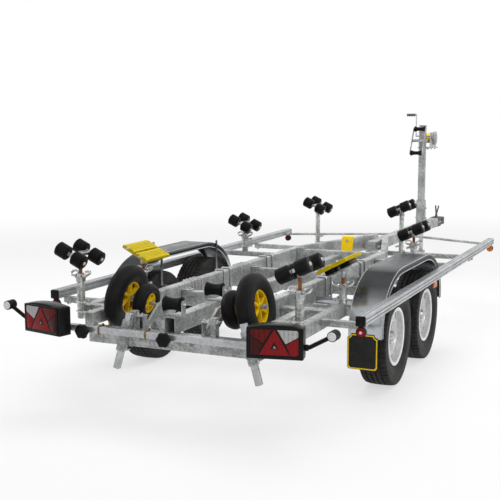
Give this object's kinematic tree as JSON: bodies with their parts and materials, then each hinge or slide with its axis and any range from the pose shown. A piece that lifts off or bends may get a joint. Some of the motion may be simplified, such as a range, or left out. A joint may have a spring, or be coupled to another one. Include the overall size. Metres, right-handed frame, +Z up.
{
  "type": "boat trailer",
  "caption": "Tandem-axle boat trailer with a galvanised frame, roller cradle, hull pads, winch post, light bar, prop stands and jockey wheel.",
  "frame": {"origin": "on the ground under the middle of the overall length and width", "axes": "+X to the trailer's right, +Y forward to the coupling, +Z up"},
  "size_m": [2.114, 7.06, 1.844],
  "materials": {
    "galvanised": "hot-dip galvanised, mottled",
    "zinc_sheet": "dull zinc sheet",
    "aluminium_rail": "satin extrusion",
    "rusty_steel": "rust-tinted thread",
    "rim_steel": "silver paint",
    "tyre": "dusty tread",
    "black_rubber": "matt",
    "yellow_plastic": "moulded",
    "black_plastic": "satin",
    "lamp_red": "ribbed lens",
    "marker_amber": "reflector",
    "cast_grey": "dark coating"
  },
  "bodies": {
    "chassis": {"main_beams": "galvanised", "v_beams": "galvanised", "keel_beam": "galvanised", "rear_beam": "galvanised", "cross_members": "galvanised", "keel_stop": "yellow_plastic", "outriggers": "galvanised", "drawbar": "galvanised", "axles": "galvanised", "mudguard_left": "zinc_sheet", "mudguard_right": "zinc_sheet", "mudguard_stays": "galvanised", "mud_flaps": "black_rubber", "side_rails": "aluminium_rail", "rail_caps": "black_plastic", "rail_markers": "marker_amber", "rail_arms": "galvanised", "posts": "galvanised", "spindles": "rusty_steel", "roller_frames": "galvanised", "head_rollers": "black_rubber", "pad_boards": "yellow_plastic", "pad_blocks": "black_plastic", "rear_brackets": "galvanised", "light_bar": "galvanised", "bar_knobs": "black_plastic", "lamp_housings": "black_plastic", "lamp_lenses": "lamp_red", "marker_arms": "black_rubber", "winch_post": "galvanised", "bow_frame": "galvanised", "winch_frame": "galvanised", "coupling": "cast_grey", "handbrake": "cast_grey", "jockey_clamp": "galvanised"},
    "wheel_rear_left": {"tyre_rear_left": "tyre", "rim_rear_left": "rim_steel"},
    "wheel_rear_right": {"tyre_rear_right": "tyre", "rim_rear_right": "rim_steel"},
    "wheel_front_left": {"tyre_front_left": "tyre", "rim_front_left": "rim_steel"},
    "wheel_front_right": {"tyre_front_right": "tyre", "rim_front_right": "rim_steel"},
    "hull_wheels_left": {"hull_tyres_left": "tyre", "hull_hubs_left": "yellow_plastic"},
    "hull_wheels_right": {"hull_tyres_right": "tyre", "hull_hubs_right": "yellow_plastic"},
    "keel_roller_rear": {"keel_roller_rear": "black_rubber"},
    "keel_roller_front": {"keel_roller_front": "black_rubber"},
    "bow_roller_upper": {"bow_roller_upper": "black_rubber"},
    "bow_roller_lower": {"bow_roller_lower": "black_rubber"},
    "winch_drum": {"winch_drum": "galvanised"},
    "winch_crank": {"winch_crank": "galvanised"},
    "prop_leg_left": {"prop_leg_left": "galvanised"},
    "prop_leg_right": {"prop_leg_right": "galvanised"},
    "jockey_tube": {"jockey_tube": "galvanised"},
    "jockey_fork": {"jockey_fork": "galvanised"},
    "jockey_wheel": {"jockey_wheel": "black_rubber"}
  },
  "joints": [
    {"name": "wheel_rear_left_spin", "type": "hinge", "parent": "chassis", "child": "wheel_rear_left", "pos_m": [-0.885, -1.97, 0.325], "axis": [1, 0, 0], "continuous": true},
    {"name": "wheel_rear_right_spin", "type": "hinge", "parent": "chassis", "child": "wheel_rear_right", "pos_m": [0.885, -1.97, 0.325], "axis": [1, 0, 0], "continuous": true},
    {"name": "wheel_front_left_spin", "type": "hinge", "parent": "chassis", "child": "wheel_front_left", "pos_m": [-0.885, -1.184, 0.325], "axis": [1, 0, 0], "continuous": true},
    {"name": "wheel_front_right_spin", "type": "hinge", "parent": "chassis", "child": "wheel_front_right", "pos_m": [0.885, -1.184, 0.325], "axis": [1, 0, 0], "continuous": true},
    {"name": "hull_wheels_left_spin", "type": "hinge", "parent": "chassis", "child": "hull_wheels_left", "pos_m": [-0.432, -3.05, 0.668], "axis": [-0.9848, 0, 0.1736], "continuous": true},
    {"name": "hull_wheels_right_spin", "type": "hinge", "parent": "chassis", "child": "hull_wheels_right", "pos_m": [0.432, -3.05, 0.668], "axis": [0.9848, 0, 0.1736], "continuous": true},
    {"name": "keel_roller_rear_spin", "type": "hinge", "parent": "chassis", "child": "keel_roller_rear", "pos_m": [0, -3.242, 0.688], "axis": [1, 0, 0], "continuous": true},
    {"name": "keel_roller_front_spin", "type": "hinge", "parent": "chassis", "child": "keel_roller_front", "pos_m": [0, -2.712, 0.688], "axis": [1, 0, 0], "continuous": true},
    {"name": "bow_roller_upper_spin", "type": "hinge", "parent": "chassis", "child": "bow_roller_upper", "pos_m": [0, 2.36, 1.672], "axis": [1, 0, 0], "continuous": true},
    {"name": "bow_roller_lower_spin", "type": "hinge", "parent": "chassis", "child": "bow_roller_lower", "pos_m": [0, 2.21, 1.413], "axis": [1, 0, 0], "continuous": true},
    {"name": "winch_drum_turn", "type": "hinge", "parent": "chassis", "child": "winch_drum", "pos_m": [0, 2.76, 1.57], "axis": [1, 0, 0], "continuous": true},
    {"name": "winch_crank_turn", "type": "hinge", "parent": "chassis", "child": "winch_crank", "pos_m": [0, 2.65, 1.592], "axis": [1, 0, 0], "continuous": true},
    {"name": "prop_leg_left_slide", "type": "slide", "parent": "chassis", "child": "prop_leg_left", "axis": [-0.2756, 0, -0.9613], "range_m": [0, 0.19]},
    {"name": "prop_leg_right_slide", "type": "slide", "parent": "chassis", "child": "prop_leg_right", "axis": [0.2756, 0, -0.9613], "range_m": [0, 0.19]},
    {"name": "jockey_tube_slide", "type": "slide", "parent": "chassis", "child": "jockey_tube", "axis": [0, 0, 1], "range_m": [0, 0.2]},
    {"name": "jockey_fork_swivel", "type": "hinge", "parent": "jockey_tube", "child": "jockey_fork", "pos_m": [-0.132, 3.06, 0.228], "axis": [0, 0, 1], "continuous": true},
    {"name": "jockey_wheel_spin", "type": "hinge", "parent": "jockey_fork", "child": "jockey_wheel", "pos_m": [-0.132, 3.012, 0.105], "axis": [1, 0, 0], "continuous": true}
  ],
  "couplings": [
    {"joint": "winch_crank_turn", "follows": "winch_drum_turn", "ratio": -4}
  ]
}
